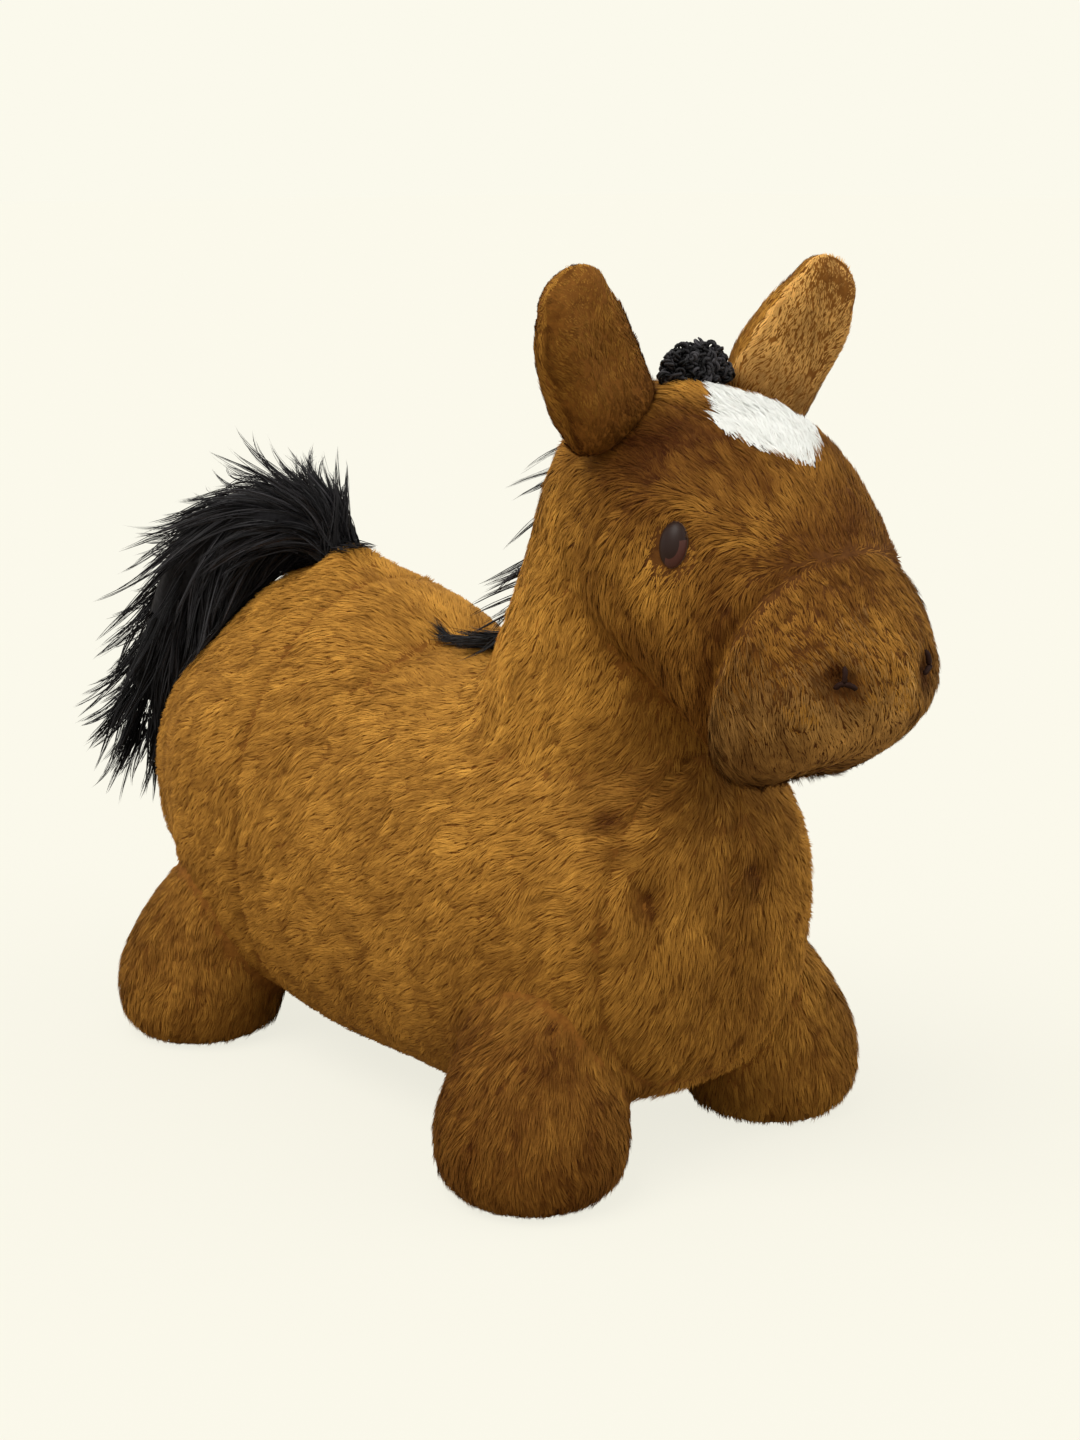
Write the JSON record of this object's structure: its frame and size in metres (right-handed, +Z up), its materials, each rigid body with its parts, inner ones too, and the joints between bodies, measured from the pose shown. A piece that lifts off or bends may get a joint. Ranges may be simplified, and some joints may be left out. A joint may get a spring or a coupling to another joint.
{
  "type": "bouncy hopper",
  "caption": "Inflatable ride-on bouncy hopper in a sewn plush cover, shaped as a standing horse on short round legs, with black mane and tail.",
  "frame": {"origin": "on the floor, below the middle of the whole toy's bounding box", "axes": "+Z up, the horse faces -Y, +X towards the horse's own left side"},
  "size_m": [0.3406, 0.7076, 0.5692],
  "materials": {
    "body_plush": "matte",
    "head_plush": "matte",
    "black_pile": "matte",
    "white_plush": "matte",
    "filling": "matte",
    "bladder_vinyl": "satin",
    "eye_gloss": "gloss",
    "clear_plastic": "satin",
    "dark_thread": "matte",
    "zip_tape": "matte",
    "zip_nylon": "satin",
    "zip_metal": "satin"
  },
  "bodies": {
    "body": {"cover_belly_panel": "body_plush", "cover_chest_right": "body_plush", "cover_flank_right": "body_plush", "cover_rump_right": "body_plush", "cover_chest_left": "body_plush", "cover_flank_left": "body_plush", "cover_rump_left": "body_plush", "cover_neck_right": "body_plush", "cover_neck_left": "body_plush", "cover_muzzle": "head_plush", "cover_forehead_gusset": "head_plush", "cover_cheek_right": "head_plush", "eye_right": "eye_gloss", "eye_right_washer": "clear_plastic", "nostril_right_stitches": "dark_thread", "cover_cheek_left": "head_plush", "eye_left": "eye_gloss", "eye_left_washer": "clear_plastic", "nostril_left_stitches": "dark_thread", "cover_leg_front_right": "body_plush", "sole_front_right": "body_plush", "cover_leg_front_left": "body_plush", "sole_front_left": "body_plush", "cover_leg_rear_right": "body_plush", "sole_rear_right": "body_plush", "cover_leg_rear_left": "body_plush", "sole_rear_left": "body_plush", "mane_strip": "black_pile", "forelock_tuft": "black_pile", "star_patch": "white_plush", "bladder": "bladder_vinyl", "valve_seat": "bladder_vinyl", "zip_tape_right": "zip_tape", "zip_coil_right": "zip_nylon", "zip_tape_left": "zip_tape", "zip_coil_left": "zip_nylon", "zip_top_stop_right": "zip_metal", "zip_top_stop_left": "zip_metal", "zip_bottom_stop": "zip_metal"},
    "ear_right": {"ear_right_front_panel": "head_plush", "ear_right_back_panel": "head_plush", "ear_right_filling": "filling"},
    "ear_left": {"ear_left_front_panel": "head_plush", "ear_left_back_panel": "head_plush", "ear_left_filling": "filling"},
    "tail": {"tail_pile": "black_pile"},
    "zip_slider": {"zip_slider": "zip_metal"},
    "zip_pull": {"zip_pull": "zip_metal"},
    "valve_plug": {"valve_plug": "clear_plastic"}
  },
  "joints": [
    {"name": "ear_right_flex", "type": "hinge", "parent": "body", "child": "ear_right", "pos_m": [-0.06432, -0.18144, 0.48187], "axis": [0.8419, 0, 0.5396], "range_deg": [-25, 25], "stiffness_Nm_per_rad": 0.3},
    {"name": "ear_left_flex", "type": "hinge", "parent": "body", "child": "ear_left", "pos_m": [0.06432, -0.18144, 0.48188], "axis": [0.8419, 0, -0.5396], "range_deg": [-25, 25], "stiffness_Nm_per_rad": 0.3},
    {"name": "tail_lift", "type": "hinge", "parent": "body", "child": "tail", "pos_m": [0, 0.17856, 0.34378], "axis": [1, 0, 0], "range_deg": [0, 45]},
    {"name": "zip_travel", "type": "slide", "parent": "body", "child": "zip_slider", "axis": [0, 1, 0], "range_m": [0, 0.146]},
    {"name": "zip_pull_swing", "type": "hinge", "parent": "zip_slider", "child": "zip_pull", "pos_m": [0, -0.10334, 0.0173], "axis": [1, 0, 0], "range_deg": [-75, 75]},
    {"name": "valve_plug_release", "type": "slide", "parent": "body", "child": "valve_plug", "axis": [0, 0, -1], "range_m": [0, 0.012]}
  ]
}
